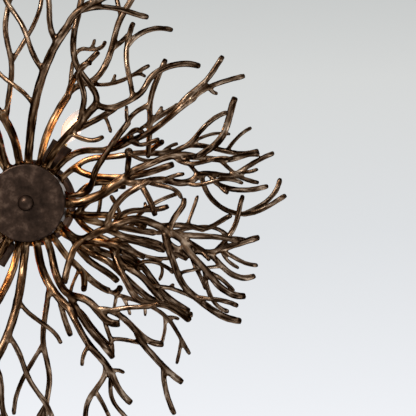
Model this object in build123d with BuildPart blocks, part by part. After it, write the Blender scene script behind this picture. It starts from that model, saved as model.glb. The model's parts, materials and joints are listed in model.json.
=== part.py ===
"""Flush mount ceiling light: a burst of forked bronze sprays round a hub, with two lamps.

Millimetres, +Z up. The origin is the centre of the canopy on the ceiling plane, and everything
hangs below it. Seen from below, +X points right and +Y points down.
"""
import os
from math import cos, radians, sin

from build123d import *

os.makedirs("parts", exist_ok=True)

# Layout of the sprays
STEP = 1.35  # one step of the grid on which the sprays are laid out, seen from below

# Hub
HUB_R = 52.0
HUB_WALL = 10.0
HUB_TOP = 112.0  # drops are measured down from the ceiling
HUB_FOOT = 256.0
HUB_CROWN = 6.0  # thickness of its closed top
HUB_ROUND = 9.0
TIER_HIGH = 140.0
TIER_MID = 185.0
TIER_LOW = 230.0
SEAT_R = 50.0  # distance from the axis to the flat seat of a collar
COLLAR_R = 7.5
COLLAR_T = 5.0
SEAT_PLAY = 0.5
STUD_R = 4.0
STUD_PLAY = 0.15
STUD_END = 33.0  # distance from the axis to the inner end of a stud
NUT_FLATS = 13.0
NUT_T = 6.5
NUT_FACE = 41.2  # distance from the axis to the outer face of a nut
COVER_T = 4.0
COVER_SCREW_PCD = 94.0
FINIAL_R = 11.0

# Stem, canopy and ceiling bar
STEM_R = 8.0
STEM_BORE = 6.4
STEM_TOP = 6.8
NIPPLE_R = 6.2
NIPPLE_BORE = 4.2
THREAD_PLAY = 0.15
BAR_L = 110.0
BAR_W = 22.0
BAR_T = 2.5
BAR_SLOT_W = 5.0
BAR_SLOT_IN = 35.0  # slot ends, so that 70 mm and 89 mm boxes both fit
BAR_SLOT_OUT = 44.5
CANOPY_R = 60.0
CANOPY_DEPTH = 27.0
CANOPY_WALL = 1.2
CANOPY_PLAY = 0.4
RING_R = 14.0
RING_H = 10.0
RING_PLAY = 0.05
RING_GAP = 0.3
SCREW_R = 2.0
SCREW_PLAY = 0.1

# Lamps
LAMP_BEARINGS = (-60.0, 120.0)
LAMP_DROP = 162.0
PIPE_R = 5.0
PIPE_BORE = 3.6
CUP_R = 15.0
CUP_WALL = 1.4
SHELL_R = 6.9
SHELL_BORE = 6.3
CAP_R = 5.95
BULB_R = 12.7
GLASS_T = 0.8
WIRE_R = 0.9


def save(piece, label):
    """Name a piece and write it out."""
    piece.part.label = label
    export_step(piece.part, f"parts/{label}.step")


def at(x, y, drop):
    """A place on the layout grid: steps right, steps down the page, and the drop below the ceiling."""
    return Vector(x * STEP, y * STEP, -drop)


def out(bearing, reach, drop):
    """A place reach mm from the axis, on a bearing, at a drop."""
    return Vector(reach * cos(radians(bearing)), reach * sin(radians(bearing)), -drop)


def outward(bearing, reach, drop):
    """A plane there that faces straight out."""
    return Plane(
        origin=out(bearing, reach, drop),
        x_dir=(-sin(radians(bearing)), cos(radians(bearing)), 0),
        z_dir=(cos(radians(bearing)), sin(radians(bearing)), 0),
    )


def twig(radius, places):
    """A round twig of one thickness along a smooth line through the places."""
    with BuildLine(mode=Mode.PRIVATE) as line:
        Spline(*places)
    with BuildSketch(Plane(origin=line.line @ 0, z_dir=line.line % 0), mode=Mode.PRIVATE) as ring:
        Circle(radius)
    return sweep(sections=ring.sketch.faces()[0], path=line.line, mode=Mode.PRIVATE)


# The sprays. Each has a bearing and a tier on the hub, and then its twigs: the first is the stem that
# leaves the hub, the others start inside an earlier one. A twig is its radius and its places.
SPRAYS = {
    # over the upper edge, lowest of all, so nearest to someone below
    "a": (-88, TIER_LOW, [
        (5.8, [(3, -60, 240), (8, -95, 255), (18, -130, 270), (31, -158, 282), (43, -175, 288)]),
        (4.9, [(41, -171, 287), (46, -182, 290), (55, -191, 292), (75, -201, 284), (100, -216, 268),
               (118, -220, 256)]),
        (3.8, [(52, -188, 292), (66, -192, 286), (90, -192, 270), (112, -186, 254), (121, -184, 248)]),
        (3.6, [(66, -197, 290), (67, -207, 293), (62, -226, 290), (66, -244, 284)]),
        (3.8, [(31, -158, 282), (24, -178, 285), (22, -205, 280), (10, -230, 270), (8, -252, 260)]),
        (3.1, [(21, -207, 279), (30, -222, 272), (34, -240, 264)]),
        (3.6, [(18, -130, 270), (6, -150, 268), (-4, -176, 260), (-20, -200, 250), (-26, -228, 240)]),
        (3.1, [(8, -95, 255), (-6, -112, 250), (-22, -124, 240), (-34, -140, 228)]),
    ]),
    # upper left, high up under the ceiling
    "b": (-75, TIER_HIGH, [
        (5.4, [(13, -52, 138), (20, -75, 132), (30, -95, 126), (39, -109, 122)]),
        (4.0, [(38, -107, 122), (42, -120, 126), (51, -134, 132), (63, -146, 136), (70, -153, 138)]),
        (4.4, [(38, -107, 122), (46, -117, 116), (63, -124, 108), (75, -138, 104), (83, -159, 102),
               (90, -184, 102), (104, -210, 99), (108, -230, 96)]),
        (3.4, [(82, -156, 102), (90, -162, 98), (100, -172, 92)]),
        (3.4, [(92, -189, 102), (89, -200, 96), (86, -215, 90)]),
        (2.9, [(34, -101, 124), (42, -136, 100), (51, -156, 95), (66, -156, 90), (76, -165, 86)]),
        (2.5, [(60, -155, 92), (63, -160, 88), (65, -167, 84)]),
        (2.9, [(60, -122, 109), (75, -120, 100), (98, -127, 94), (110, -134, 90), (121, -140, 86)]),
        (2.5, [(105, -130, 92), (111, -131, 88), (117, -128, 85)]),
        (2.5, [(81, -120, 98), (84, -125, 94), (86, -131, 90)]),
    ]),
    # the big stem that crosses the lamp
    "c": (-62, TIER_LOW, [
        (5.5, [(24, -46, 236), (33, -58, 244), (52, -78, 256), (63, -90, 263), (71, -99, 268)]),
        (4.3, [(66, -94, 266), (70, -104, 269), (64, -116, 272), (50, -137, 275), (47, -158, 274),
               (51, -184, 266), (56, -220, 250)]),
        (4.3, [(69, -98, 267), (81, -94, 262), (101, -101, 250), (115, -111, 242), (122, -123, 236),
               (146, -137, 228), (172, -136, 216)]),
        (3.6, [(105, -104, 248), (102, -124, 242), (99, -142, 236), (100, -160, 228), (106, -180, 218)]),
        (3.6, [(99, -154, 231), (108, -165, 228), (124, -173, 221), (145, -172, 212)]),
        (4.0, [(51, -77, 255), (56, -92, 268), (57, -111, 282), (53, -130, 290), (58, -136, 292),
               (66, -138, 292)]),
        (4.3, [(46, -71, 252), (56, -76, 246), (66, -81, 244), (77, -87, 250), (88, -94, 258)]),
        (3.4, [(44, -69, 251), (52, -65, 258), (64, -62, 263), (77, -66, 264)]),
        (2.5, [(77, -87, 250), (82, -76, 254), (84, -69, 256)]),
    ]),
    # the steep stem left of the middle
    "d": (-10, TIER_MID, [
        (4.3, [(50, -8, 187), (60, -12, 191), (66, -28, 198), (76, -46, 205), (89, -65, 210),
               (101, -81, 208)]),
        (3.4, [(99, -79, 208), (105, -88, 206), (113, -94, 202), (123, -99, 200)]),
        (3.8, [(120, -46, 182), (121, -60, 195), (122, -83, 199), (122, -98, 200), (130, -126, 200),
               (138, -144, 198)]),
        (2.7, [(100, -79, 209), (99, -88, 214), (99, -97, 220)]),
        (2.7, [(134, -97, 192), (129, -88, 196), (121, -80, 199), (112, -74, 203)]),
        (4.0, [(50, -8, 187), (58, -16, 186), (68, -20, 184), (82, -19, 183), (98, -16, 184)]),
        (3.6, [(121, -79, 199), (132, -87, 194), (142, -93, 190), (151, -99, 185)]),
    ]),
    # long, to the upper right
    "e": (-50, TIER_MID, [
        (4.3, [(41, -46, 190), (55, -52, 190), (79, -53, 188), (101, -61, 198), (124, -72, 218),
               (153, -95, 220), (167, -105, 216)]),
        (3.6, [(163, -102, 217), (182, -116, 212), (195, -121, 208), (217, -127, 202)]),
        (3.7, [(149, -92, 220), (157, -104, 218), (178, -122, 212), (188, -136, 206), (195, -147, 202)]),
        (3.9, [(76, -53, 188), (90, -60, 184), (101, -68, 180), (107, -73, 178), (115, -70, 176)]),
        (2.7, [(181, -115, 212), (186, -110, 209), (190, -109, 207)]),
        (3.8, [(88, -57, 193), (96, -62, 206), (102, -65, 222), (104, -66, 238)]),
        (3.0, [(104, -62, 200), (112, -58, 208), (122, -60, 214), (132, -64, 218)]),
    ]),
    # long and level, to the right
    "f": (-38, TIER_HIGH, [
        (4.1, [(60, -44, 144), (88, -47, 152), (107, -50, 156), (125, -50, 159), (151, -52, 160)]),
        (3.6, [(147, -52, 160), (165, -58, 160), (190, -54, 164), (209, -50, 167), (231, -53, 168)]),
        (3.4, [(143, -52, 160), (159, -58, 164), (178, -78, 170), (188, -86, 170), (200, -91, 168)]),
        (2.5, [(164, -61, 165), (174, -66, 160), (183, -69, 156), (203, -69, 150)]),
        (2.7, [(199, -52, 165), (203, -58, 162), (211, -67, 157), (224, -76, 150)]),
        (2.7, [(100, -49, 155), (107, -46, 150), (116, -43, 146), (128, -44, 142)]),
        (2.7, [(136, -53, 160), (142, -57, 155), (150, -60, 150)]),
        (4.7, [(46, -35, 142), (58, -29, 150), (72, -26, 160), (97, -26, 172), (118, -30, 180),
               (134, -35, 182), (146, -39, 182)]),
        (3.8, [(117, -50, 157), (126, -56, 168), (132, -60, 180), (134, -61, 194)]),
    ]),
    # the main one to the right
    "g": (0, TIER_LOW, [
        (6.3, [(52, 0, 233), (63, -4, 236), (75, -9, 239), (86, -17, 241), (97, -25, 242)]),
        (4.8, [(94, -23, 242), (106, -32, 242), (120, -38, 240), (145, -47, 233), (166, -46, 229)]),
        (4.0, [(163, -46, 229), (182, -44, 226), (205, -44, 222), (223, -49, 217), (231, -48, 215)]),
        (3.1, [(146, -46, 233), (165, -39, 238), (180, -42, 241), (205, -43, 244)]),
        (2.9, [(157, -46, 231), (162, -38, 234), (171, -28, 237)]),
        (2.7, [(190, -44, 224), (198, -37, 228), (208, -28, 231)]),
        (4.8, [(94, -23, 242), (108, -20, 243), (135, -23, 240), (152, -20, 238), (170, -27, 236)]),
        (4.0, [(167, -26, 236), (184, -29, 234), (196, -27, 232), (209, -28, 230)]),
        (3.4, [(205, -27, 230), (219, -36, 226), (231, -43, 222), (246, -50, 216)]),
        (2.7, [(213, -31, 229), (221, -31, 232), (230, -34, 234)]),
        (3.1, [(207, -28, 230), (219, -23, 230), (231, -20, 230)]),
        (2.9, [(157, -21, 238), (170, -18, 244), (192, -23, 249), (204, -23, 249), (215, -19, 248)]),
        (2.9, [(136, -23, 240), (147, -27, 248), (157, -29, 252)]),
        (3.8, [(100, -29, 243), (101, -38, 262), (102, -46, 282), (102, -50, 292)]),
        (3.6, [(182, -29, 234), (187, -21, 238), (199, -15, 240), (220, -13, 240), (240, -17, 236)]),
        (2.7, [(190, -19, 238), (194, -14, 242), (200, -9, 246)]),
        (4.7, [(170, -46, 229), (182, -54, 238), (192, -63, 244), (199, -78, 251), (207, -105, 256)]),
        (3.1, [(118, -22, 242), (130, -18, 246), (145, -14, 250), (154, -4, 252)]),
        (4.0, [(111, -21, 243), (116, -14, 248), (122, -3, 255), (128, 13, 260)]),
        (3.6, [(174, -28, 235), (177, -15, 231), (190, 2, 224), (203, 9, 219), (218, 11, 216)]),
        (3.4, [(215, 11, 216), (230, 4, 212), (243, -6, 207), (252, -25, 200)]),
        (3.4, [(215, 11, 216), (230, 8, 217), (242, 2, 217), (258, -8, 216)]),
    ]),
    # the low one that sweeps across the middle
    "h": (35, TIER_LOW, [
        (5.4, [(45, 33, 248), (55, 36, 263), (67, 31, 276), (85, 23, 282), (108, 16, 280),
               (135, 25, 270), (161, 40, 258), (174, 48, 251)]),
        (4.7, [(58, 36, 266), (50, 42, 271), (45, 52, 274), (41, 65, 276), (38, 80, 278)]),
        (4.3, [(79, 25, 281), (84, 12, 288), (99, -8, 296), (112, -16, 298), (125, -24, 296)]),
        (4.3, [(171, 47, 252), (182, 49, 249), (196, 45, 244), (215, 39, 238), (231, 34, 232)]),
        (3.6, [(138, 27, 268), (146, 43, 263), (164, 48, 257), (177, 49, 251)]),
        (4.0, [(177, 48, 250), (183, 52, 248), (201, 69, 240), (212, 74, 236), (227, 72, 230)]),
        (2.9, [(172, 47, 252), (176, 51, 256), (182, 57, 260)]),
        (2.9, [(191, 46, 246), (199, 50, 240), (218, 60, 228), (230, 62, 222)]),
        (2.5, [(193, 46, 245), (197, 54, 235), (203, 60, 226), (211, 65, 218)]),
        (4.7, [(155, 37, 261), (162, 49, 264), (181, 70, 268), (190, 81, 268), (201, 89, 266),
               (217, 92, 260)]),
        (2.9, [(175, 68, 267), (184, 70, 260), (194, 76, 252), (206, 88, 244)]),
        (4.7, [(137, 26, 269), (139, 39, 272), (147, 62, 274), (157, 83, 270), (170, 95, 266),
               (189, 109, 260), (213, 117, 252)]),
        (3.4, [(167, 93, 267), (176, 94, 272), (185, 95, 274), (210, 102, 272)]),
        (3.1, [(177, 71, 268), (179, 82, 260), (186, 98, 249), (201, 108, 238)]),
        (2.5, [(150, 70, 273), (166, 66, 262), (192, 63, 247)]),
        (4.0, [(143, 31, 265), (144, 20, 270), (150, 10, 272), (155, 3, 272), (156, -5, 270)]),
        (3.8, [(131, 23, 272), (144, 22, 262), (161, 23, 250), (176, 27, 239)]),
        (3.4, [(173, 26, 241), (186, 22, 234), (196, 16, 231), (204, 12, 230)]),
        (3.4, [(189, 46, 246), (199, 35, 240), (208, 19, 235), (212, 2, 232), (215, -8, 230)]),
        (2.5, [(159, 23, 251), (166, 4, 246), (170, -8, 244)]),
        (3.8, [(88, 22, 282), (93, 13, 263), (104, 8, 247), (120, 7, 240), (141, 3, 242)]),
        (2.7, [(118, 7, 240), (118, 3, 238), (117, -1, 236)]),
        (4.7, [(80, 25, 281), (92, 31, 279), (106, 35, 274), (122, 38, 268), (140, 45, 262),
               (160, 55, 256)]),
        (2.9, [(163, 52, 264), (168, 64, 258), (174, 76, 250), (178, 86, 242)]),
        (3.8, [(150, 31, 263), (165, 32, 262), (182, 33, 260), (198, 35, 257), (212, 39, 252)]),
    ]),
    # thick and paired, to the lower right
    "i": (40, TIER_MID, [
        (5.4, [(48, 36, 206), (65, 39, 228), (80, 41, 240), (92, 49, 247)]),
        (4.6, [(89, 47, 246), (99, 63, 252), (112, 71, 254), (124, 84, 252), (140, 101, 246),
               (165, 111, 238)]),
        (4.6, [(85, 44, 243), (91, 62, 254), (100, 79, 262), (112, 96, 264), (137, 101, 258),
               (150, 107, 254), (162, 117, 248)]),
        (4.0, [(78, 41, 239), (90, 42, 250), (102, 47, 256), (118, 54, 260)]),
        (2.9, [(105, 67, 253), (118, 58, 244), (134, 61, 238), (146, 70, 232)]),
        (2.9, [(123, 83, 252), (134, 83, 246), (155, 89, 236), (171, 97, 230)]),
        (2.5, [(136, 84, 245), (141, 84, 241), (146, 80, 237)]),
        (4.5, [(80, 41, 240), (93, 36, 245), (108, 38, 249), (122, 42, 251), (138, 47, 251)]),
        (4.7, [(50, 36, 209), (58, 46, 216), (68, 52, 221), (80, 58, 226), (92, 68, 229), (104, 80, 230),
               (118, 92, 228), (132, 99, 226)]),
        (4.5, [(45, 34, 202), (54, 50, 200), (66, 61, 198), (80, 70, 195), (90, 79, 191)]),
        (4.3, [(58, 38, 219), (70, 46, 214), (84, 52, 211), (100, 58, 207), (114, 66, 203)]),
        (4.4, [(80, 41, 240), (98, 50, 240), (114, 62, 238), (124, 75, 236), (136, 90, 232), (150, 101, 229),
               (162, 108, 227)]),
    ]),
    # to the lower right, forked near its end
    "j": (62, TIER_LOW, [
        (5.2, [(27, 62, 242), (33, 79, 250), (42, 90, 256), (58, 95, 262), (74, 110, 268),
               (80, 116, 270), (93, 119, 272)]),
        (4.4, [(70, 106, 267), (85, 107, 268), (94, 112, 266), (115, 132, 258), (136, 140, 248)]),
        (4.4, [(109, 126, 261), (114, 137, 262), (125, 150, 262), (138, 164, 258), (155, 178, 252)]),
        (3.6, [(136, 162, 259), (137, 179, 256), (141, 195, 250), (147, 210, 244)]),
        (3.4, [(83, 107, 268), (95, 104, 273), (106, 103, 275), (122, 102, 277), (133, 99, 279)]),
        (3.1, [(77, 113, 269), (80, 124, 261), (84, 137, 252), (85, 152, 244)]),
        (2.9, [(83, 135, 253), (94, 135, 254), (106, 137, 257), (116, 139, 262)]),
        (4.3, [(42, 90, 256), (52, 108, 258), (62, 124, 258), (74, 138, 254), (86, 154, 248)]),
    ]),
    # steep bundle at the lower left
    "k": (78, TIER_MID, [
        (5.6, [(14, 65, 196), (22, 82, 204), (32, 95, 212), (42, 105, 218)]),
        (4.5, [(39, 102, 217), (52, 108, 222), (63, 122, 226), (74, 135, 226), (82, 143, 224)]),
        (4.7, [(40, 103, 217), (47, 115, 226), (63, 142, 238), (80, 162, 240), (89, 180, 237),
               (104, 199, 230)]),
        (2.7, [(83, 167, 239), (90, 166, 236), (97, 169, 231)]),
        (3.6, [(78, 159, 240), (77, 172, 238), (63, 193, 228), (58, 215, 214), (64, 234, 204)]),
        (2.9, [(68, 187, 231), (75, 199, 225), (82, 214, 217)]),
        (4.0, [(32, 95, 212), (36, 112, 206), (43, 133, 198)]),
        (2.9, [(62, 141, 238), (57, 150, 242), (55, 162, 244)]),
        (3.8, [(22, 82, 204), (18, 110, 210), (16, 140, 214), (22, 174, 212), (18, 206, 204),
               (28, 240, 196)]),
        (3.1, [(19, 200, 206), (8, 220, 200), (4, 244, 192)]),
        (3.1, [(16, 140, 214), (4, 160, 206), (-10, 188, 196), (-14, 212, 188)]),
        (3.0, [(84, 170, 239), (83, 184, 230), (86, 198, 220), (95, 210, 212), (104, 221, 205)]),
    ]),
    # high up, to the right
    "m": (15, TIER_HIGH, [
        (4.5, [(62, 18, 126), (80, 22, 116), (100, 26, 108), (126, 30, 102)]),
        (2.9, [(122, 29, 103), (150, 28, 98), (178, 24, 93), (200, 33, 88)]),
        (2.7, [(138, 29, 100), (160, 34, 96), (180, 35, 92), (219, 37, 86)]),
        (2.9, [(100, 26, 108), (112, 10, 100), (130, -2, 94), (150, -10, 88)]),
        (2.9, [(80, 22, 116), (92, 36, 106), (108, 50, 98), (128, 56, 92), (150, 54, 86)]),
        (2.5, [(127, 56, 92), (133, 64, 91), (130, 79, 94)]),
        (3.1, [(94, 25, 110), (89, 6, 106), (81, -8, 102)]),
        (2.9, [(62, 18, 126), (70, 6, 118), (72, -10, 110), (84, -24, 102)]),
        (4.7, [(44, 12, 138), (56, 12, 146), (72, 12, 157), (88, 13, 168), (104, 18, 178), (118, 25, 184)]),
        (4.3, [(46, 12, 137), (54, 4, 150), (64, -5, 158), (76, -11, 163), (90, -14, 165)]),
        (4.2, [(46, 12, 137), (52, 20, 146), (60, 27, 154), (72, 34, 160), (86, 40, 162), (100, 46, 160)]),
    ]),
    # high up, to the lower right
    "n": (55, TIER_HIGH, [
        (4.5, [(38, 54, 126), (50, 66, 116), (62, 78, 110), (80, 89, 104)]),
        (4.4, [(52, 68, 115), (55, 77, 122), (55, 84, 132), (55, 87, 144)]),
        (2.9, [(77, 88, 105), (98, 96, 98), (122, 105, 94), (139, 117, 92), (152, 137, 88),
               (162, 154, 84)]),
        (4.4, [(86, 91, 102), (90, 88, 112), (91, 86, 124), (91, 86, 134)]),
        (2.5, [(87, 92, 101), (86, 100, 96), (84, 108, 90)]),
        (2.5, [(93, 94, 99), (98, 104, 94), (101, 114, 88)]),
        (2.5, [(136, 114, 92), (136, 130, 88), (131, 146, 84)]),
        (2.5, [(153, 138, 88), (151, 150, 84), (148, 164, 80)]),
        (2.5, [(138, 116, 92), (144, 116, 90), (151, 118, 87)]),
        (2.5, [(114, 102, 95), (116, 108, 92), (116, 115, 88)]),
        (2.5, [(50, 66, 116), (44, 80, 108), (40, 96, 100), (44, 112, 92)]),
    ]),
}

# Ways that leave the hub: bearing and drop of every spray, each made twice, half a turn apart
PORTS = [(bearing + turn, drop) for bearing, drop, twigs in SPRAYS.values() for turn in (0, 180)]

# Sprays: collar, stud and twigs in one casting, then the same casting turned to the other side
for letter, (bearing, drop, twigs) in SPRAYS.items():
    grown = []
    for number, (radius, places) in enumerate(twigs):
        run = [at(*place) for place in places]
        if number == 0:
            run = [out(bearing, SEAT_R + 1, drop), out(bearing, SEAT_R + COLLAR_T + 3, drop)] + run
        grown.append(twig(radius, run))
    with BuildPart() as spray:
        with BuildSketch(outward(bearing, SEAT_R, drop)):
            Circle(COLLAR_R)
        extrude(amount=COLLAR_T)
        with BuildSketch(outward(bearing, STUD_END, drop)):
            Circle(STUD_R)
        extrude(amount=SEAT_R - STUD_END + 1)
        add(grown)
        if letter == "g":
            # the open cup at the end of the twig that points straight down
            with BuildSketch(Plane(origin=at(102, -50, 290), z_dir=(0, 0, -1))):
                Circle(5.0)
            with BuildSketch(Plane(origin=at(102, -50, 301), z_dir=(0, 0, -1))):
                Circle(6.6)
            loft()
            with BuildSketch(Plane(origin=at(102, -50, 301), z_dir=(0, 0, -1))):
                Circle(4.4)
            extrude(amount=-4.5, mode=Mode.SUBTRACT)
    save(spray, f"spray_{letter}")
    with BuildPart() as twin:
        add(spray.part.rotate(Axis.Z, 180))
    save(twin, f"spray_{letter}_twin")

# Hub: a cup, closed at the top, with a seat and a bore for every spray and both lamps
with BuildPart() as hub:
    with BuildSketch(Plane.XY.offset(-HUB_FOOT)):
        Circle(HUB_R)
    extrude(amount=HUB_FOOT - HUB_TOP)
    with BuildSketch(Plane.XY.offset(-HUB_FOOT)):
        Circle(HUB_R - HUB_WALL)
    extrude(amount=HUB_FOOT - HUB_TOP - HUB_CROWN, mode=Mode.SUBTRACT)
    fillet(hub.edges().group_by(Axis.Z)[-1], radius=HUB_ROUND)
    for bearing, drop in PORTS:
        with BuildSketch(outward(bearing, SEAT_R, drop)):
            Circle(COLLAR_R + SEAT_PLAY)
        extrude(amount=HUB_R - SEAT_R + 1, mode=Mode.SUBTRACT)
        with BuildSketch(outward(bearing, STUD_END, drop)):
            Circle(STUD_R + STUD_PLAY)
        extrude(amount=HUB_R - STUD_END, mode=Mode.SUBTRACT)
    for bearing in LAMP_BEARINGS:
        with BuildSketch(outward(bearing, SEAT_R, LAMP_DROP)):
            Circle(COLLAR_R + SEAT_PLAY)
        extrude(amount=HUB_R - SEAT_R + 1, mode=Mode.SUBTRACT)
        with BuildSketch(outward(bearing, STUD_END, LAMP_DROP)):
            Circle(PIPE_R + THREAD_PLAY)
        extrude(amount=HUB_R - STUD_END, mode=Mode.SUBTRACT)
    with Locations((0, 0, -HUB_TOP)):
        Cylinder(NIPPLE_R + THREAD_PLAY, HUB_CROWN * 3, mode=Mode.SUBTRACT)
    with Locations((0, 0, -HUB_FOOT)):
        with PolarLocations(COVER_SCREW_PCD / 2, 3, start_angle=75):
            Cylinder(1.6, 20, mode=Mode.SUBTRACT)
save(hub, "hub")

# Nuts that hold the studs inside the hub
with BuildPart() as nuts:
    for bearing, drop in PORTS:
        with BuildSketch(outward(bearing, NUT_FACE, drop)):
            RegularPolygon(NUT_FLATS / 2, 6, major_radius=False, rotation=30)
            Circle(STUD_R + STUD_PLAY, mode=Mode.SUBTRACT)
        extrude(amount=-NUT_T)
save(nuts, "spray_nuts")

# Cover under the hub, its three screws and the ball below it
COVER_LOW = HUB_FOOT + COVER_T
with BuildPart() as cover:
    with BuildSketch(Plane.XY.offset(-COVER_LOW)):
        Circle(HUB_R)
    extrude(amount=COVER_T)
    fillet(cover.edges().group_by(Axis.Z)[0], radius=2)
    with BuildSketch(Plane.XY.offset(-HUB_FOOT)):
        Circle(HUB_R - HUB_WALL - 0.3)
        Circle(HUB_R - HUB_WALL - 3, mode=Mode.SUBTRACT)
    extrude(amount=3)
    with Locations((0, 0, -HUB_FOOT)):
        Cylinder(3.15, 20, mode=Mode.SUBTRACT)
        with PolarLocations(COVER_SCREW_PCD / 2, 3, start_angle=75):
            Cylinder(1.6, 20, mode=Mode.SUBTRACT)
save(cover, "hub_cover")

with BuildPart() as cover_screws:
    with Locations((0, 0, -COVER_LOW)):
        with PolarLocations(COVER_SCREW_PCD / 2, 3, start_angle=75):
            Cylinder(1.5, COVER_T + 5, align=(Align.CENTER, Align.CENTER, Align.MIN))
            Cylinder(3.0, 1.8, align=(Align.CENTER, Align.CENTER, Align.MAX))
            with Locations((0, 0, -1.8)):
                Box(0.8, 7, 1.4, mode=Mode.SUBTRACT)
save(cover_screws, "cover_screws")

with BuildPart() as finial:
    with BuildSketch(Plane.XZ):
        with Locations((0, -COVER_LOW - 3 - FINIAL_R * 0.9)):
            Circle(FINIAL_R)
        with Locations((0, -COVER_LOW - 2)):
            Rectangle(13, 4)
        with Locations((0, -COVER_LOW + 3)):
            Rectangle(6, 10)
        with Locations((-50, -COVER_LOW)):
            Rectangle(100, 100, mode=Mode.SUBTRACT)
    revolve(axis=Axis.Z)
save(finial, "finial")

# Stem: tube, the nipples at both ends and their nuts
WINDOW_DROP = 19.0  # where the leads leave the tube inside the canopy
with BuildPart() as tube:
    with BuildSketch(Plane.XY.offset(-HUB_TOP)):
        Circle(STEM_R)
        Circle(STEM_BORE, mode=Mode.SUBTRACT)
    extrude(amount=HUB_TOP - STEM_TOP)
    with BuildSketch(Plane(origin=(0, 0, -WINDOW_DROP), z_dir=(0, 1, 0))):
        Circle(3.1)
    extrude(amount=STEM_R + 2, both=True, mode=Mode.SUBTRACT)
save(tube, "stem_tube")


def nipple(top, low):
    """A threaded tube between two drops."""
    with BuildPart() as made:
        with BuildSketch(Plane.XY.offset(-low)):
            Circle(NIPPLE_R)
            Circle(NIPPLE_BORE, mode=Mode.SUBTRACT)
        extrude(amount=low - top)
    return made


save(nipple(0.3, 14.5), "top_nipple")
save(nipple(96, 128), "hub_nipple")

with BuildPart() as lock_nuts:
    for low, thick in ((STEM_TOP, STEM_TOP - BAR_T), (HUB_TOP + HUB_CROWN + 5, 5)):
        with BuildSketch(Plane.XY.offset(-low)):
            RegularPolygon(10, 6, major_radius=False, rotation=30)
            Circle(NIPPLE_R + THREAD_PLAY, mode=Mode.SUBTRACT)
        extrude(amount=thick)
save(lock_nuts, "lock_nuts")

# Ceiling bar with slots for the screws of the box, and its earth screw
with BuildPart() as bar:
    with BuildSketch(Plane.XY.offset(-BAR_T)):
        Rectangle(BAR_L, BAR_W)
        Circle(NIPPLE_R + THREAD_PLAY, mode=Mode.SUBTRACT)
        with Locations(((BAR_SLOT_IN + BAR_SLOT_OUT) / 2, 0), (-(BAR_SLOT_IN + BAR_SLOT_OUT) / 2, 0)):
            SlotCenterToCenter(BAR_SLOT_OUT - BAR_SLOT_IN, BAR_SLOT_W, mode=Mode.SUBTRACT)
        with Locations((22, 5)):
            Circle(1.75, mode=Mode.SUBTRACT)
    extrude(amount=BAR_T)
    fillet(bar.edges().filter_by(Axis.Z).group_by(Axis.X)[-1], radius=6)
    fillet(bar.edges().filter_by(Axis.Z).group_by(Axis.X)[0], radius=6)
save(bar, "ceiling_bar")

with BuildPart() as earth_screw:
    with BuildSketch(Plane(origin=(22, 5, -BAR_T), z_dir=(0, 0, -1))):
        RegularPolygon(3.5, 6, major_radius=False)
    extrude(amount=3)
    with BuildSketch(Plane(origin=(22, 5, -BAR_T), z_dir=(0, 0, 1))):
        Circle(1.7)
    extrude(amount=BAR_T)
    with Locations((22, 5, -BAR_T - 3)):
        Box(7, 0.9, 2, mode=Mode.SUBTRACT)
save(earth_screw, "earth_screw")

# Canopy: a shallow spun bowl that slides on the tube
with BuildPart() as canopy:
    with BuildSketch(Plane.XZ):
        with BuildLine():
            Polyline(
                (CANOPY_R, 0), (CANOPY_R, -7), (CANOPY_R - 5, -17), (CANOPY_R - 16, -24),
                (CANOPY_R - 30, -CANOPY_DEPTH), (STEM_R + CANOPY_PLAY, -CANOPY_DEPTH),
                (STEM_R + CANOPY_PLAY, -CANOPY_DEPTH + CANOPY_WALL),
                (CANOPY_R - 30, -CANOPY_DEPTH + CANOPY_WALL),
                (CANOPY_R - 16.4, -24 + CANOPY_WALL), (CANOPY_R - 5.9, -17 + CANOPY_WALL * 0.7),
                (CANOPY_R - CANOPY_WALL, -6.6), (CANOPY_R - CANOPY_WALL, 0), (CANOPY_R, 0),
            )
        make_face()
    revolve(axis=Axis.Z)
save(canopy, "canopy")

# Ring that holds the canopy up, and its thumb screw
RING_TOP = CANOPY_DEPTH + RING_GAP
RING_MID = RING_TOP + RING_H / 2
SCREW_BEARING = 200.0
with BuildPart() as ring:
    with BuildSketch(Plane.XY.offset(-RING_TOP - RING_H)):
        Circle(RING_R)
        Circle(STEM_R + RING_PLAY, mode=Mode.SUBTRACT)
    extrude(amount=RING_H)
    fillet(ring.edges().filter_by(GeomType.CIRCLE).group_by(SortBy.RADIUS)[-1], radius=1.5)
    with BuildSketch(outward(SCREW_BEARING, STEM_R - 2, RING_MID)):
        Circle(SCREW_R + SCREW_PLAY)
    extrude(amount=RING_R, mode=Mode.SUBTRACT)
save(ring, "canopy_ring")

with BuildPart() as thumb:
    with BuildSketch(outward(SCREW_BEARING, STEM_R + 0.3, RING_MID)):
        Circle(SCREW_R)
    extrude(amount=RING_R + 1 - STEM_R)
    with BuildSketch(outward(SCREW_BEARING, RING_R + 0.6, RING_MID)):
        Circle(4.5)
        with PolarLocations(4.9, 16):
            Circle(0.6, mode=Mode.SUBTRACT)
    extrude(amount=5)
save(thumb, "thumb_screw")


def along(bearing):
    """A plane through a lamp's axis: x runs out along the axis, y up."""
    return Plane(
        origin=(0, 0, -LAMP_DROP),
        x_dir=(cos(radians(bearing)), sin(radians(bearing)), 0),
        z_dir=(sin(radians(bearing)), -cos(radians(bearing)), 0),
    )


def turned(bearing, *outline):
    """A piece turned about a lamp's axis from an outline of (reach, radius)."""
    plane = along(bearing)
    with BuildPart() as made:
        with BuildSketch(plane):
            with BuildLine():
                Polyline(*outline, outline[0])
            make_face()
        revolve(axis=Axis(plane.origin, plane.x_dir))
    return made


# Distances from the hub's axis along a lamp
PIPE_IN = 36.5
PIPE_OUT = 66.0
SHOULDER = 56.0
CUP_MOUTH = 92.0
BODY_IN = 57.6
BODY_OUT = 90.0
FLOOR = 72.0  # floor of the holder, where the middle contact lies
CAP_IN = 76.0
CAP_OUT = 95.0
TIP_IN = 72.9

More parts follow.
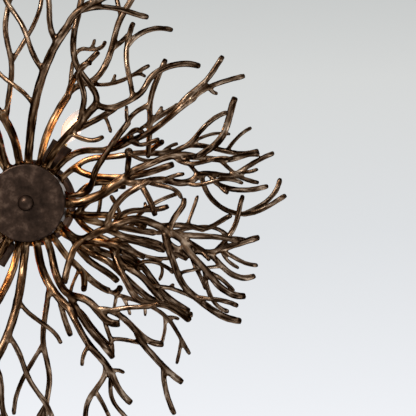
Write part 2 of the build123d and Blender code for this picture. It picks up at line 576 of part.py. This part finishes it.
# Both lamps
NECK_R = 5.3
NECK_IN = 84.0
NOSE = 153.0
GLASS_LINE = [(CAP_OUT, NECK_R), (100, 7.4), (106, 10.4), (112, 12.2), (119, BULB_R), (129, 11.3),
              (138, 8.0), (146, 4.0)]
for number, bearing in enumerate(LAMP_BEARINGS, start=1):
    plane = along(bearing)
    axis = Axis(plane.origin, plane.x_dir)
    pipe = turned(
        bearing,
        (PIPE_IN, PIPE_BORE), (PIPE_IN, PIPE_R), (SEAT_R, PIPE_R), (SEAT_R, COLLAR_R),
        (SHOULDER, COLLAR_R), (SHOULDER, PIPE_R), (PIPE_OUT, PIPE_R), (PIPE_OUT, PIPE_BORE),
    )
    save(pipe, f"lamp_{number}_pipe")
    cup = turned(
        bearing,
        (SHOULDER, PIPE_R + THREAD_PLAY), (SHOULDER, 9), (60, 13), (66, CUP_R), (CUP_MOUTH, CUP_R),
        (CUP_MOUTH, CUP_R - CUP_WALL), (66.4, CUP_R - CUP_WALL), (61, 11.8),
        (SHOULDER + CUP_WALL, 8.3), (SHOULDER + CUP_WALL, PIPE_R + THREAD_PLAY),
    )
    save(cup, f"lamp_{number}_cup")
    body = turned(
        bearing,
        (BODY_IN, PIPE_R + THREAD_PLAY), (BODY_IN, 8), (61.6, 11), (BODY_OUT, 11),
        (BODY_OUT, SHELL_R + 0.15), (FLOOR, SHELL_R + 0.15), (FLOOR, 1.3), (FLOOR - 2, 1.3),
        (FLOOR - 2, 4.2), (PIPE_OUT + 0.3, 4.2), (PIPE_OUT + 0.3, PIPE_R + THREAD_PLAY),
    )
    save(body, f"lamp_{number}_holder")

    cap = turned(
        bearing,
        (TIP_IN, 0), (TIP_IN, 2.4), (74, 2.8), (CAP_IN, CAP_R - 0.6), (CAP_IN + 1, CAP_R),
        (CAP_OUT, CAP_R), (CAP_OUT, CAP_R - 0.5), (CAP_IN + 2, CAP_R - 0.5), (CAP_IN + 2, 0),
    )
    save(cap, f"bulb_{number}_cap")
    with BuildPart() as glass:
        for wall, nose, tail, mode in ((0, NOSE, NECK_IN, Mode.ADD),
                                       (GLASS_T, NOSE - 2 * GLASS_T, NECK_IN - 1, Mode.SUBTRACT)):
            with BuildSketch(plane):
                with BuildLine():
                    Polyline((nose, 0), (tail, 0), (tail, NECK_R - wall), (CAP_OUT, NECK_R - wall))
                    Spline(*[(reach, radius - wall) for reach, radius in GLASS_LINE], (nose, 0),
                           tangents=[(1, 0), (0.2, -1)])
                make_face()
            revolve(axis=axis, mode=mode)
    save(glass, f"bulb_{number}_glass")
    mount = turned(
        bearing,
        (84, 0), (84, 4.2), (85.2, 4.2), (88, 2.4), (94, 1.7), (103, 1.7), (105, 0),
    )
    save(mount, f"bulb_{number}_mount")
    with BuildPart() as filament:
        run = [(101, -2.4), (108, -4.0), (118, -4.8), (128, -3.6), (133, 0), (128, 3.6), (118, 4.8),
               (108, 4.0), (101, 2.4)]
        add(twig(0.45, [plane.from_local_coords(Vector(x, y, 0)) for x, y in run]))
    save(filament, f"bulb_{number}_filament")

# Small pieces that are the same on both lamps
with BuildPart() as pipe_nuts:
    for bearing in LAMP_BEARINGS:
        with BuildSketch(outward(bearing, NUT_FACE, LAMP_DROP)):
            RegularPolygon(7, 6, major_radius=False, rotation=30)
            Circle(PIPE_R + THREAD_PLAY, mode=Mode.SUBTRACT)
        extrude(amount=-3.6)
save(pipe_nuts, "pipe_nuts")

with BuildPart() as shells:
    for bearing in LAMP_BEARINGS:
        add(turned(
            bearing,
            (FLOOR + 0.1, SHELL_BORE), (FLOOR + 0.1, SHELL_R), (BODY_OUT + 0.2, SHELL_R),
            (BODY_OUT + 0.2, SHELL_R + 0.6), (BODY_OUT + 1.2, SHELL_R + 0.6), (BODY_OUT + 1.2, SHELL_BORE),
        ).part)
save(shells, "lamp_shells")

with BuildPart() as contacts:
    for bearing in LAMP_BEARINGS:
        add(turned(
            bearing,
            (FLOOR - 3, 0), (FLOOR - 3, 1.15), (FLOOR, 1.15), (FLOOR, 3.4), (FLOOR + 0.7, 3.4),
            (FLOOR + 0.7, 0),
        ).part)
save(contacts, "lamp_contacts")

# Leads from the holders through the pipes, the hub and the tube to the wire nuts in the canopy.
# On each side of the tube one lead of either lamp goes into the same nut.
LEAD_GAP = 1.3  # half the distance between the two leads of a lamp
LEAD_BEND = 3.0
NUT_MOUTH = 18.0
NUT_DROP = 16.5
with BuildPart() as leads:
    for bearing, lane in zip(LAMP_BEARINGS, (1.6, -1.6)):
        sideways = outward(bearing, 0, 0).x_dir * LEAD_GAP
        for side in (1, -1):
            # the lead that goes to the far side of the tube passes below the other one
            near = side * sin(radians(bearing)) > 0
            sway = sideways * (side if sideways.Y > 0 else -side)
            with BuildLine() as run:
                FilletPolyline(
                    out(bearing, PIPE_OUT + 2.4, LAMP_DROP) + sway,
                    out(bearing, 24 if near else 14, LAMP_DROP) + sway,
                    Vector(lane, side * 1.2, -138 if near else -150),
                    Vector(lane, side * 1.2, -WINDOW_DROP),
                    Vector(lane, side * 12, -WINDOW_DROP + 0.6),
                    Vector(lane, side * NUT_MOUTH, -NUT_DROP),
                    Vector(lane, side * (NUT_MOUTH + 6), -NUT_DROP),
                    radius=LEAD_BEND,
                )
            with BuildSketch(Plane(origin=run.line @ 0, z_dir=run.line % 0)):
                Circle(WIRE_R)
            sweep()
save(leads, "leads")

with BuildPart() as wire_nuts:
    for side in (1, -1):
        with BuildSketch(Plane.YZ):
            with BuildLine():
                Polyline(
                    (side * NUT_MOUTH, 3.2 - NUT_DROP), (side * NUT_MOUTH, 6.6 - NUT_DROP),
                    (side * (NUT_MOUTH + 3), 6.6 - NUT_DROP), (side * (NUT_MOUTH + 18), 4.6 - NUT_DROP),
                    (side * (NUT_MOUTH + 20), 3 - NUT_DROP), (side * (NUT_MOUTH + 20), -NUT_DROP),
                    (side * (NUT_MOUTH + 9), -NUT_DROP), (side * (NUT_MOUTH + 9), 3.2 - NUT_DROP),
                    (side * NUT_MOUTH, 3.2 - NUT_DROP),
                )
            make_face()
        revolve(axis=Axis((0, 0, -NUT_DROP), (0, 1, 0)))
save(wire_nuts, "wire_nuts")
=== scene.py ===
"""Looks of the flush mount ceiling light: cast bronze sprays, turned fittings and two lit candle bulbs."""

import json
import math

import bpy
import numpy as np
from mathutils import Matrix, Vector

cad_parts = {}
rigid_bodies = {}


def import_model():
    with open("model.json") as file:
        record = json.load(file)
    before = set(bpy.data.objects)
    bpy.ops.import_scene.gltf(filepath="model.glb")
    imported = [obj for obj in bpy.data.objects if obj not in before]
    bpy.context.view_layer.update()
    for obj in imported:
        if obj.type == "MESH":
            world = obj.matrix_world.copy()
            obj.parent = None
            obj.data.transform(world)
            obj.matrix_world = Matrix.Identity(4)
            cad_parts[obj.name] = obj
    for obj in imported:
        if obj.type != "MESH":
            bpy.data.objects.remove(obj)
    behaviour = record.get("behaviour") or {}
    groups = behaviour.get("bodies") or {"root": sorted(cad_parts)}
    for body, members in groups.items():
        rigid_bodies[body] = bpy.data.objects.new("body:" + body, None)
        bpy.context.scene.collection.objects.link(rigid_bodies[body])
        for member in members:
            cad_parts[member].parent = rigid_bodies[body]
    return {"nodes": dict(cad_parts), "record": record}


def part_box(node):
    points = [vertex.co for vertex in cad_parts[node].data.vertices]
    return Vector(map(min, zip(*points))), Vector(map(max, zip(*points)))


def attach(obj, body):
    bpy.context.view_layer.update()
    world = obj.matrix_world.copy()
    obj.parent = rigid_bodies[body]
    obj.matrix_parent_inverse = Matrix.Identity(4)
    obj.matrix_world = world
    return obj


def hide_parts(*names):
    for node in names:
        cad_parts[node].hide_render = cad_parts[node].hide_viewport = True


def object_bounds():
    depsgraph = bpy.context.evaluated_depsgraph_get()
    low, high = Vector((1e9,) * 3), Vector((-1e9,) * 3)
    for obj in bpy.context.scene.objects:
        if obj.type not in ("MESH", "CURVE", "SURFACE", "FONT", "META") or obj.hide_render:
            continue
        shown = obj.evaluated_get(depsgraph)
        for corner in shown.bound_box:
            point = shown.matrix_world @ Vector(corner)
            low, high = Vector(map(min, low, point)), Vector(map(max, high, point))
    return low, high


for item in list(bpy.data.objects):
    bpy.data.objects.remove(item)

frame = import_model()
nodes = frame["nodes"]
cad_low, cad_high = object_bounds()

MM = 0.001
MID_DROP = 190 * MM  # the middle of the light, below the ceiling
BURST_REACH = 350 * MM  # from the middle of the light to its furthest tips
PAINTED_GLOW_REACH = 42 * MM  # from a filament's middle, how far the painted glow of its light shows in the glass
SHARP_ANGLE = math.radians(35)  # edges of the turned parts sharper than this stay sharp

# Net of a cast spray
VOXEL = 1.15 * MM
WEB = 0.45 * MM  # how far the forks are filled
SMOOTHING = (0.6, -0.62)  # a push in and one out, which together round a net and don't shrink it
WEB_SMOOTHING_ROUNDS = 2
SMOOTHING_ROUNDS = 4
CORE_ROUNDS = 110  # averages that bring each point to the middle of its twig
LAST_ROUNDS = 50  # how many of these still move a point at a twig's end
TIP_DRIFT = 1.05 * MM  # a point that the last averages move further than this lies at a tip
TIP_FADE = 0.4 * MM
TIP_ROUNDS = 7
EASE_ALL = 0.12  # how far one round of the tips' rounding moves any point towards its neighbours
EASE_TIP = 0.68  # and how much further at a tip

# Relief of a cast spray
HUB_CLEAR = 60 * MM  # nearer to the axis than this a spray keeps its plain turned shape
HUB_FADE = 12 * MM
RIDGE_WIDTH = 2.7 * MM
RIDGE_LENGTH = 34 * MM
RIDGE_MEAN = 0.72
KNOT_SIZE = 8.5 * MM
SWELL_SIZE = 24 * MM
PROUD = 0.12  # these four are heights in millimetres
RIDGE_RISE = 0.70
KNOT_RISE = 0.26
SWELL_RISE = 0.22
TIP_CALM = 0.8  # share of the relief that a tip loses

# Camera, straight below the middle of what the picture shows, with the top of the picture towards -Y
PICTURE_STEP = 1.35 * MM  # one pixel of the 416 pixel picture, at the middle of the light
PICTURE_SIZE = 416
AXIS_IN_PICTURE = (28, 203)  # where the light's own axis lies in the picture
CAMERA_BELOW = 6.5  # from the middle of the light
SENSOR = 36

# Surroundings
SKY_EDGE = 0.045  # the backdrop's shades run from this far towards -Y to as far towards +Y
ROOM_GLOW = 0.35
FLOOR_DROP = 14.0
FLOOR_HALF = 60
FLOOR_LIFT = 0.62  # of its own pale colour, added where it is seen directly
LIGHT_AIM = (0.1, 0, -0.18)
BULB_WATTS = 0.9
BULB_GLOW_SIZE = 10 * MM


def put(name, data):
    """A new object in the scene."""
    made = bpy.data.objects.new(name, data)
    bpy.context.scene.collection.objects.link(made)
    return made


camera_data = bpy.data.cameras.new("camera")
camera_data.sensor_width = SENSOR
camera_data.lens = SENSOR / (PICTURE_SIZE * PICTURE_STEP / CAMERA_BELOW)
camera_data.dof.use_dof = False
camera_data.clip_start = 0.05
camera_data.clip_end = 60
camera = put("camera", camera_data)
camera.location = (
    (PICTURE_SIZE / 2 - AXIS_IN_PICTURE[0]) * PICTURE_STEP,
    (PICTURE_SIZE / 2 - AXIS_IN_PICTURE[1]) * PICTURE_STEP,
    -MID_DROP - CAMERA_BELOW,
)
camera.rotation_mode = "QUATERNION"
camera.rotation_quaternion = Matrix(((1, 0, 0), (0, -1, 0), (0, 0, -1))).to_quaternion()
bpy.context.scene.camera = camera


class Material:
    """A Principled material with a few helpers to wire its nodes."""

    def __init__(self, name):
        self.data = bpy.data.materials.new(name)
        self.data.use_nodes = True
        self.tree = self.data.node_tree
        self.shader = self.tree.nodes["Principled BSDF"]

    def add(self, kind, **settings):
        node = self.tree.nodes.new(kind)
        for key, value in settings.items():
            if key in node.inputs:
                node.inputs[key].default_value = value
            else:
                setattr(node, key, value)
        return node

    def link(self, source, target):
        self.tree.links.new(source, target)

    def drive(self, **sources):
        """Links node outputs to the shader's own sockets."""
        for key, source in sources.items():
            self.link(source, self.shader.inputs[key.replace("_", " ")])

    def set(self, **values):
        for key, value in values.items():
            self.shader.inputs[key.replace("_", " ")].default_value = value

    def math(self, operation, a, b=None, c=None):
        node = self.add("ShaderNodeMath", operation=operation)
        for index, value in enumerate((a, b, c)):
            if value is None:
                continue
            if isinstance(value, (int, float)):
                node.inputs[index].default_value = value
            else:
                self.link(value, node.inputs[index])
        return node.outputs[0]

    def vector(self, operation, a, b=None, scale=None):
        node = self.add("ShaderNodeVectorMath", operation=operation)
        self.link(a, node.inputs[0])
        if b is not None:
            self.link(b, node.inputs[1])
        if scale is not None:
            node.inputs["Scale"].default_value = scale
        return node.outputs[0]

    def distance(self, place, spot):
        """How far each point of the surface is from one fixed spot."""
        node = self.add("ShaderNodeVectorMath", operation="DISTANCE")
        self.link(place, node.inputs[0])
        node.inputs[1].default_value = spot
        return node.outputs["Value"]

    def ramp(self, value, *stops):
        node = self.add("ShaderNodeValToRGB")
        elements = node.color_ramp.elements
        elements.remove(elements[-1])
        elements[0].position, colour = stops[0]
        elements[0].color = (*colour, 1)
        for position, colour in stops[1:]:
            elements.new(position).color = (*colour, 1)
        self.link(value, node.inputs[0])
        return node.outputs[0]

    def noise(self, vector, scale, detail, roughness):
        node = self.add("ShaderNodeTexNoise", Scale=scale, Detail=detail, Roughness=roughness)
        self.link(vector, node.inputs["Vector"])
        return node.outputs["Fac"]

    def stored(self, name, output):
        """A value that the cast sprays' points carry."""
        return self.add("ShaderNodeAttribute", attribute_name=name, attribute_type="GEOMETRY").outputs[output]

    def bump(self, height, strength, distance):
        node = self.add("ShaderNodeBump", Strength=strength, Distance=distance)
        self.link(height, node.inputs["Height"])
        self.drive(Normal=node.outputs[0])

    def place(self):
        return self.add("ShaderNodeTexCoord").outputs["Object"]


def cast_bronze(name):
    """Dark bronze with ridges that run along each twig, rubbed pale on their crests, and the bulbs' warm light
    painted on near the hub.
    """
    m = Material(name)
    m.set(Metallic=1.0, Specular_Tint=(0.13, 0.09, 0.06, 1))
    place = m.place()
    core = m.stored("core", "Vector")
    raised = m.stored("raised", "Fac")
    around = m.vector("SCALE", m.vector("SUBTRACT", place, core), scale=430)
    lengthwise = m.vector("SCALE", core, scale=28)
    grain = m.noise(m.vector("ADD", around, lengthwise), scale=1.0, detail=3.0, roughness=0.62)
    off_middle = m.math("ABSOLUTE", m.math("SUBTRACT", grain, 0.5))
    crest = m.math("SUBTRACT", 1.0, m.math("MULTIPLY", off_middle, 5.0))
    patches = m.noise(place, scale=48, detail=3.0, roughness=0.6)
    pits = m.noise(place, scale=900, detail=2.0, roughness=0.6)
    worn = m.math("ADD", m.math("MULTIPLY", grain, 0.56), m.math("MULTIPLY", patches, 0.22))
    worn = m.math("MULTIPLY_ADD", crest, 0.09, worn)
    worn = m.math("MULTIPLY_ADD", raised, 0.12, worn)
    colour = m.ramp(
        worn,
        (0.34, (0.006, 0.0022, 0.0007)),
        (0.43, (0.034, 0.0165, 0.0076)),
        (0.512, (0.150, 0.089, 0.052)),
        (0.60, (0.60, 0.44, 0.315)),
    )
    # painted light of the bulbs: browner and warmer near the hub, where the bulbs glow, and greyer and cooler at the
    # tips
    away = m.distance(place, (0, 0, -MID_DROP))
    painted_bulb_light = m.ramp(
        m.math("MULTIPLY", away, 1 / BURST_REACH),
        (0.30, (1.0, 0.90, 0.72)),
        (0.52, (0.98, 0.94, 0.88)),
        (0.85, (0.93, 0.97, 1.0)),
    )
    rough = m.math("MULTIPLY_ADD", pits, 0.12, m.math("MULTIPLY_ADD", worn, -0.25, 0.46))
    # the colour times the painted warm light of the bulbs
    m.drive(Base_Color=m.vector("MULTIPLY", colour, painted_bulb_light), Roughness=rough)
    height = m.math("ADD", m.math("MULTIPLY_ADD", crest, 0.25, grain), m.math("MULTIPLY", pits, 0.10))
    m.bump(height, strength=0.8, distance=1.0 * MM)
    return m.data


def turned_bronze(name):
    """The same metal, turned and darkened, with faint tool lines and handling marks."""
    m = Material(name)
    m.set(Metallic=0.9, Specular_Tint=(0.22, 0.17, 0.13, 1))
    place = m.place()
    lines = m.add(
        "ShaderNodeTexWave", Scale=260, Distortion=1.5, Detail=2.0, wave_type="RINGS", rings_direction="Z",
    )
    m.link(place, lines.inputs["Vector"])
    marks = m.noise(place, scale=70, detail=4.0, roughness=0.6)
    colour = m.ramp(
        marks, (0.30, (0.016, 0.010, 0.007)), (0.55, (0.050, 0.030, 0.021)), (0.75, (0.130, 0.082, 0.058)),
    )
    m.drive(Base_Color=colour, Roughness=m.math("MULTIPLY_ADD", marks, 0.3, 0.26))
    m.bump(m.math("MULTIPLY_ADD", lines.outputs["Fac"], 0.15, marks), strength=0.25, distance=0.3 * MM)
    return m.data


def plated(name, low, high, rough):
    """A plain metal with faint streaks."""
    m = Material(name)
    m.set(Metallic=1.0)
    streaks = m.noise(m.place(), scale=120, detail=4.0, roughness=0.6)
    m.drive(
        Base_Color=m.ramp(streaks, (0.3, low), (0.7, high)),
        Roughness=m.math("MULTIPLY_ADD", streaks, 0.2, rough),
    )
    m.bump(streaks, strength=0.15, distance=0.2 * MM)
    return m.data


def moulded(name, low, high, rough, coat=0.0):
    """Glazed clay or moulded plastic, with a faint unevenness."""
    m = Material(name)
    m.set(Coat_Weight=coat)
    cloud = m.noise(m.place(), scale=90, detail=3.0, roughness=0.5)
    m.drive(
        Base_Color=m.ramp(cloud, (0.35, low), (0.65, high)),
        Roughness=m.math("MULTIPLY_ADD", cloud, 0.12, rough),
    )
    m.bump(cloud, strength=0.1, distance=0.2 * MM)
    return m.data


def filament_middle(number):
    low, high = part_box(f"bulb_{number}_filament")
    return (low + high) / 2


def clear_glass(name):
    """Clear glass, with the filament's warm light painted into it as a faint glow round each bulb's glowing
    filament.
    """
    m = Material(name)
    m.set(Transmission_Weight=1.0, IOR=1.45, Roughness=0.02, Base_Color=(0.98, 0.99, 1.0, 1), Emission_Strength=0.22)
    place = m.place()
    # painted glow of the filament's light: the glass itself gives off warm light, strongest near a filament
    near = m.math("MINIMUM", m.distance(place, filament_middle(1)), m.distance(place, filament_middle(2)))
    painted_glow = m.ramp(
        m.math("MULTIPLY", near, 1 / PAINTED_GLOW_REACH),
        (0.2, (1.0, 0.40, 0.10)),
        (0.55, (0.24, 0.085, 0.02)),
        (1.0, (0, 0, 0)),
    )
    m.drive(Emission_Color=painted_glow)
    m.bump(m.noise(place, scale=45, detail=2.0, roughness=0.5), strength=0.06, distance=0.4 * MM)
    return m.data


def glowing(name):
    """A filament, hotter in places."""
    m = Material(name)
    m.set(Emission_Strength=24.0)
    heat = m.noise(m.place(), scale=160, detail=2.0, roughness=0.5)
    colour = m.ramp(heat, (0.3, (1.0, 0.36, 0.09)), (0.7, (1.0, 0.62, 0.26)))
    m.drive(Emission_Color=colour, Base_Color=colour)
    return m.data


def seen_directly(tree):
    """1 for a ray of the camera, or one that a metal or a glass sends on, and 0 for the rest."""
    ray = tree.nodes.new("ShaderNodeLightPath")
    direct = ray.outputs["Is Camera Ray"]
    for kind in ("Is Glossy Ray", "Is Transmission Ray"):
        either = tree.nodes.new("ShaderNodeMath")
        either.operation = "MAXIMUM"
        tree.links.new(direct, either.inputs[0])
        tree.links.new(ray.outputs[kind], either.inputs[1])
        direct = either.outputs[0]
    return direct


def floor_paint(name):
    """Pale paint, lifted where it is seen directly, so that the lamps needn't light it."""
    m = Material(name)
    m.set(Roughness=0.8)
    shade = m.noise(m.place(), scale=0.6, detail=2.0, roughness=0.5)
    pale = m.ramp(shade, (0.3, (0.74, 0.755, 0.775)), (0.7, (0.78, 0.795, 0.815)))
    lift = m.math("MULTIPLY", seen_directly(m.tree), FLOOR_LIFT)
    m.drive(Base_Color=pale, Emission_Color=pale, Emission_Strength=lift)
    return m.data


BRONZE = cast_bronze("cast_bronze")
FINISH = {
    "bronze": BRONZE,
    "turned_bronze": turned_bronze("turned_bronze"),
    "steel": plated("zinc_steel", (0.42, 0.42, 0.42), (0.62, 0.62, 0.60), 0.28),
    "brass": plated("brass", (0.55, 0.36, 0.13), (0.80, 0.58, 0.27), 0.20),
    "porcelain": moulded("porcelain", (0.80, 0.78, 0.73), (0.88, 0.87, 0.83), 0.14, coat=0.6),
    "glass": clear_glass("bulb_glass"),
    "filament": glowing("filament"),
    "lead": moulded("lead_skin", (0.62, 0.58, 0.50), (0.74, 0.70, 0.62), 0.42),
    "nylon": moulded("wire_nut_plastic", (0.55, 0.24, 0.03), (0.72, 0.36, 0.06), 0.35),
    "green": plated("earth_green", (0.04, 0.20, 0.07), (0.08, 0.33, 0.12), 0.3),
}
slot_of = {entry["node"]: entry["material_slot"] for entry in frame["record"]["subparts"]}
for name, piece in nodes.items():
    piece.data.materials.clear()
    piece.data.materials.append(FINISH[slot_of[name]])
    for face in piece.data.polygons:
        face.material_index = 0


# Repeatable noise on points, for the ridges that stand out of the metal
NOISE_SIZE = 512
rng = np.random.default_rng(7)
TABLE = rng.permutation(NOISE_SIZE)
LEAN = rng.normal(size=(NOISE_SIZE, 3))
LEAN /= np.linalg.norm(LEAN, axis=1)[:, None]


def wave(points):
    """Gradient noise from about -1 to 1 at each point."""
    cell = np.floor(points).astype(np.int64)
    part = points - cell
    ease = part * part * part * (part * (part * 6 - 15) + 10)
    wrap = NOISE_SIZE - 1
    total = np.zeros(len(points))
    for dx in (0, 1):
        for dy in (0, 1):
            for dz in (0, 1):
                x, y, z = (cell + (dx, dy, dz)).T
                index = TABLE[(x + TABLE[(y + TABLE[z & wrap]) & wrap]) & wrap]
                slope = (LEAN[index] * (part - (dx, dy, dz))).sum(1)
                weight = np.ones(len(points))
                for axis, d in enumerate((dx, dy, dz)):
                    weight *= ease[:, axis] if d else 1 - ease[:, axis]
                total += slope * weight
    return total * 1.5


def spread(values, ends, count, rounds):
    """Averages values over a mesh's edges, rounds times."""
    out = values
    for _ in range(rounds):
        total = np.empty_like(out)
        for axis in range(out.shape[1]):
            total[:, axis] = np.bincount(ends[:, 0], out[ends[:, 1], axis], len(out))
            total[:, axis] += np.bincount(ends[:, 1], out[ends[:, 0], axis], len(out))
        out = total / count[:, None]
    return out


def smoothed(points, ends, count, rounds):
    for push in SMOOTHING * rounds:
        points = points + push * (spread(points, ends, count, 1) - points)
    return points


def remeshed(mesh):
    """The mesh again as an even net of small quads, with everything that overlaps joined."""
    source = put("source", mesh)
    remesh = source.modifiers.new("remesh", "REMESH")
    remesh.mode = "VOXEL"
    remesh.voxel_size = VOXEL
    graph = bpy.context.evaluated_depsgraph_get()
    made = bpy.data.meshes.new_from_object(source.evaluated_get(graph))
    bpy.data.objects.remove(source)
    return made


def read(layer, field):
    values = np.empty(len(layer) * 3, np.float32)
    layer.foreach_get(field, values)
    return values.reshape(-1, 3).astype(float)


def places(mesh):
    return read(mesh.vertices, "co")


def normals(mesh):
    return read(mesh.vertex_normals, "vector")


def move(mesh, points):
    mesh.vertices.foreach_set("co", points.astype(np.float32).ravel())
    mesh.update()


def neighbours(mesh):
    """The two ends of each edge, and how many edges meet at each point."""
    ends = np.empty(len(mesh.edges) * 2, np.int32)
    mesh.edges.foreach_get("vertices", ends)
    count = np.maximum(np.bincount(ends, minlength=len(mesh.vertices)), 1).astype(float)
    return ends.reshape(-1, 2), count


def store(mesh, name, kind, field, values):
    """Keeps values on the mesh's points, for the material."""
    layer = mesh.attributes.get(name) or mesh.attributes.new(name, kind, "POINT")
    layer.data.foreach_set(field, values.astype(np.float32).ravel())


def grow(node, twin):
    """A cast spray from its CAD node: forks webbed, tips rounded and ridges raised. Also its twin."""
    mesh = remeshed(nodes[node].data.copy())
    # webs in the forks: swell, join what meets, and shrink back
    move(mesh, places(mesh) + normals(mesh) * WEB)
    mesh = remeshed(mesh)
    ends, count = neighbours(mesh)
    points = smoothed(places(mesh), ends, count, WEB_SMOOTHING_ROUNDS)
    move(mesh, points)
    move(mesh, points - normals(mesh) * WEB)
    points = smoothed(places(mesh), ends, count, SMOOTHING_ROUNDS)
    halfway = spread(points, ends, count, CORE_ROUNDS - LAST_ROUNDS)
    core = spread(halfway, ends, count, LAST_ROUNDS)
    # the last averages still move along a twig at its end, and hardly move elsewhere
    tip = np.clip((np.linalg.norm(core - halfway, axis=1) - TIP_DRIFT) / TIP_FADE, 0, 1)
    for _ in range(TIP_ROUNDS):
        points = points + (EASE_ALL + EASE_TIP * tip)[:, None] * (spread(points, ends, count, 1) - points)
    move(mesh, points)

    free = np.clip((np.hypot(points[:, 0], points[:, 1]) - HUB_CLEAR) / HUB_FADE, 0, 1)
    ridges = 1 - np.abs(wave((points - core) / RIDGE_WIDTH + core / RIDGE_LENGTH))
    knots = wave(points / KNOT_SIZE)
    swell = wave(points / SWELL_SIZE)
    rise = (PROUD + RIDGE_RISE * (ridges - RIDGE_MEAN) + KNOT_RISE * knots + SWELL_RISE * swell) * MM
    points = points + normals(mesh) * (rise * free * (1 - TIP_CALM * tip))[:, None]
    move(mesh, np.clip(points, np.array(cad_low), np.array(cad_high)))
    store(mesh, "core", "FLOAT_VECTOR", "vector", core)
    store(mesh, "raised", "FLOAT", "value", (ridges - RIDGE_MEAN) * 2 - TIP_CALM * tip)
    mesh.polygons.foreach_set("use_smooth", np.ones(len(mesh.polygons), bool))
    mesh.materials.clear()
    mesh.materials.append(BRONZE)
    mesh.update()

    turned = mesh.copy()
    turned.transform(Matrix.Rotation(math.pi, 4, "Z"))
    store(turned, "core", "FLOAT_VECTOR", "vector", core * (-1, -1, 1))
    for name, data in ((node, mesh), (twin, turned)):
        piece = put(f"cast_{name}", data)
        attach(piece, "fixture")
        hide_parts(name)


for name in sorted(nodes):
    if name.startswith("spray_") and f"{name}_twin" in nodes:
        grow(name, f"{name}_twin")

# The CAD nodes that still show
for piece in nodes.values():
    if not piece.hide_render:
        for face in piece.data.polygons:
            face.use_smooth = True
        piece.data.set_sharp_from_angle(angle=SHARP_ANGLE)
# The bulbs' glass lets their own light out
for name in ("bulb_1_glass", "bulb_2_glass"):
    nodes[name].visible_shadow = False


# World: a soft glow for the object, and a pale backdrop where it is seen directly
world = bpy.data.worlds.new("world")
bpy.context.scene.world = world
world.use_nodes = True
tree = world.node_tree
tree.nodes.clear()
output = tree.nodes.new("ShaderNodeOutputWorld")
mix = tree.nodes.new("ShaderNodeMixShader")
seen = tree.nodes.new("ShaderNodeBackground")
seen.inputs["Strength"].default_value = 1.0
glow = tree.nodes.new("ShaderNodeBackground")
glow.inputs["Color"].default_value = (0.90, 0.94, 1.0, 1)
glow.inputs["Strength"].default_value = ROOM_GLOW

# what shows behind the light: grey towards -Y, nearly white towards +Y
heading = tree.nodes.new("ShaderNodeTexCoord")
split = tree.nodes.new("ShaderNodeSeparateXYZ")
span = tree.nodes.new("ShaderNodeMapRange")
span.inputs["From Min"].default_value = -SKY_EDGE
span.inputs["From Max"].default_value = SKY_EDGE
shades = tree.nodes.new("ShaderNodeValToRGB")
shades.color_ramp.elements[0].color = (0.580, 0.595, 0.590, 1)
shades.color_ramp.elements[1].color = (0.870, 0.888, 0.925, 1)
shades.color_ramp.elements.new(0.20).color = (0.672, 0.685, 0.680, 1)
shades.color_ramp.elements.new(0.55).color = (0.728, 0.748, 0.768, 1)
for source, target in (
    (heading.outputs["Generated"], split.inputs[0]),
    (split.outputs["Y"], span.inputs["Value"]),
    (span.outputs[0], shades.inputs[0]),
    (shades.outputs[0], seen.inputs["Color"]),
    (seen_directly(tree), mix.inputs[0]),
    (glow.outputs[0], mix.inputs[1]),
    (seen.outputs[0], mix.inputs[2]),
    (mix.outputs[0], output.inputs[0]),
):
    tree.links.new(source, target)


def lamp(name, kind, place, watts, colour):
    """A lamp that lights the object and doesn't show in the camera or through glass."""
    data = bpy.data.lights.new(name, kind)
    data.energy = watts
    data.color = colour
    made = put(name, data)
    made.location = place
    made.visible_camera = False
    made.visible_transmission = False
    return made


def soft_light(name, place, size, watts, colour):
    """A round panel that faces the light's middle."""
    made = lamp(name, "AREA", place, watts, colour)
    made.data.shape = "DISK"
    made.data.size = size
    made.rotation_mode = "QUATERNION"
    made.rotation_quaternion = (Vector(LIGHT_AIM) - Vector(place)).to_track_quat("-Z", "Y")


# Lamps: a key below and to the left, a fill opposite, one above, and the glow of the two bulbs
soft_light("key", (-0.9, -1.5, -1.7), size=0.5, watts=62, colour=(1.0, 0.96, 0.91))
soft_light("fill", (1.7, 1.2, -1.1), size=1.4, watts=12, colour=(0.92, 0.96, 1.0))
soft_light("back", (0.4, -0.6, 1.6), size=1.6, watts=16, colour=(1.0, 1.0, 1.0))
for number in (1, 2):
    bulb_glow = lamp(f"bulb_glow_{number}", "POINT", filament_middle(number), BULB_WATTS, (1.0, 0.58, 0.25))
    bulb_glow.data.shadow_soft_size = BULB_GLOW_SIZE

# Floor, far below, so that a view from above has something pale behind the light
mesh = bpy.data.meshes.new("floor")
mesh.from_pydata(
    [(x * FLOOR_HALF, y * FLOOR_HALF, -FLOOR_DROP) for x, y in ((-1, -1), (1, -1), (1, 1), (-1, 1))],
    [], [(0, 1, 2, 3)],
)
mesh.materials.append(floor_paint("floor_paint"))
put("floor", mesh)

bpy.context.scene.view_settings.view_transform = "Standard"
